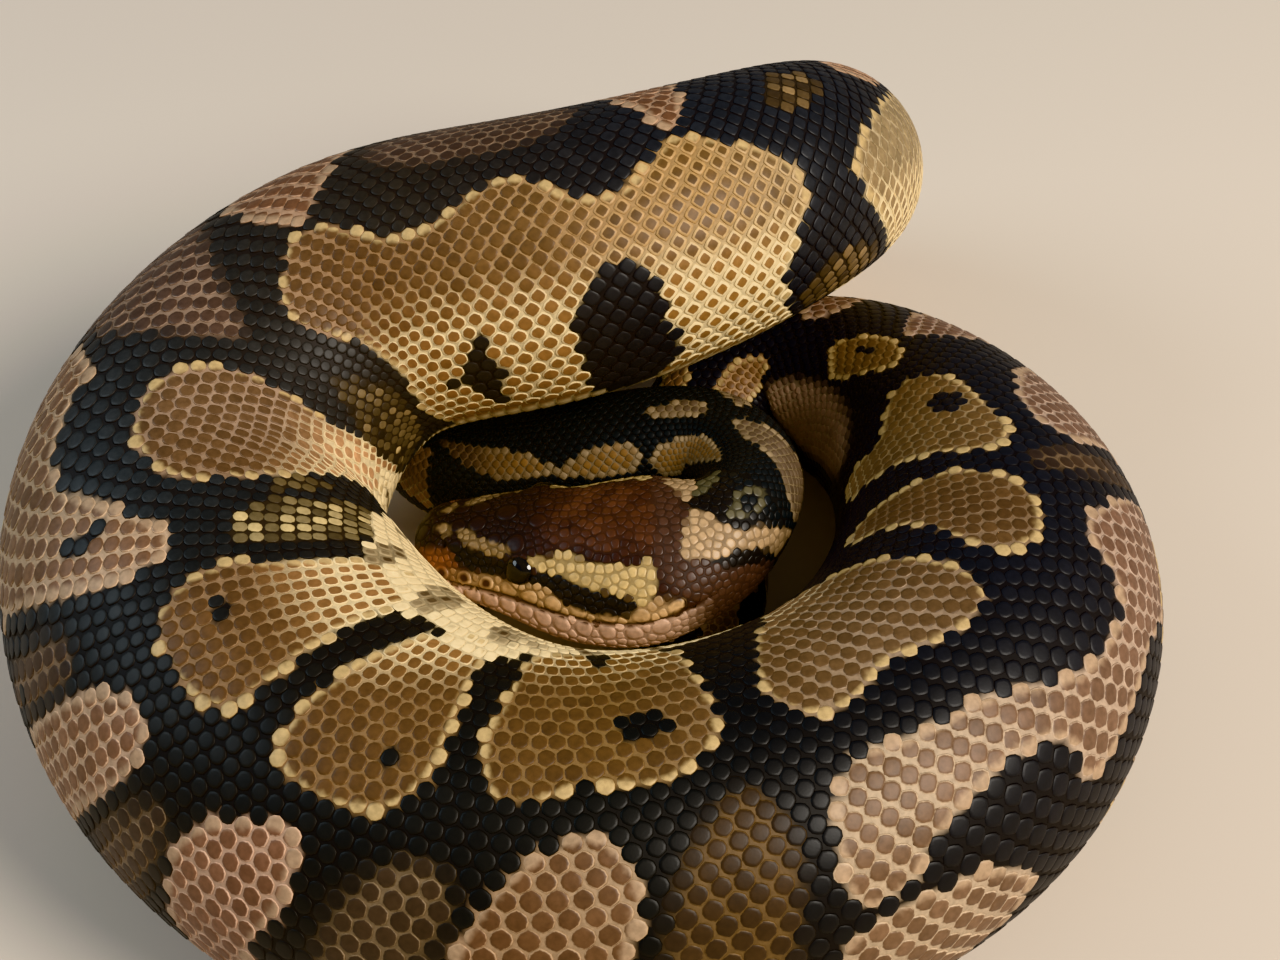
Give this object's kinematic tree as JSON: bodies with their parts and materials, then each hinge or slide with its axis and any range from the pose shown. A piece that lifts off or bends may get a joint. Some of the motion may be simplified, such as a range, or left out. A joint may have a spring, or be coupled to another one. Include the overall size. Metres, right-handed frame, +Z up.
{
  "type": "coiled ball python",
  "caption": "Life-size still model of a ball python lying in a loose coil with its head resting in the middle.",
  "frame": {"origin": "centre of the coil's box, on the floor under it", "axes": "+Z up from the floor, +X to the right as seen from the coil's front, -Y towards the front of the coil, where the outer turn lies nearest the viewer"},
  "size_m": [0.2096, 0.2251, 0.0929],
  "materials": {
    "scaled_skin": "glossy overlapping scales, black and brown with gold blotches",
    "head_skin": "small glossy scales, dark brown with cream stripes and a pinkish jaw",
    "eye": "wet glossy eye, grey-green iris and black pupil"
  },
  "bodies": {
    "root": {"head": "head_skin", "lower_jaw": "head_skin", "eye_left": "eye", "eye_right": "eye", "neck_front": "scaled_skin", "neck_turn": "scaled_skin", "neck_back": "scaled_skin", "trunk_01": "scaled_skin", "trunk_02": "scaled_skin", "trunk_03": "scaled_skin", "trunk_04": "scaled_skin", "trunk_05": "scaled_skin", "trunk_06": "scaled_skin", "trunk_07": "scaled_skin", "trunk_08": "scaled_skin", "trunk_09": "scaled_skin", "trunk_10": "scaled_skin", "trunk_11": "scaled_skin", "trunk_12": "scaled_skin", "trunk_13": "scaled_skin", "tail_base": "scaled_skin", "tail_tip": "scaled_skin"}
  },
  "joints": []
}
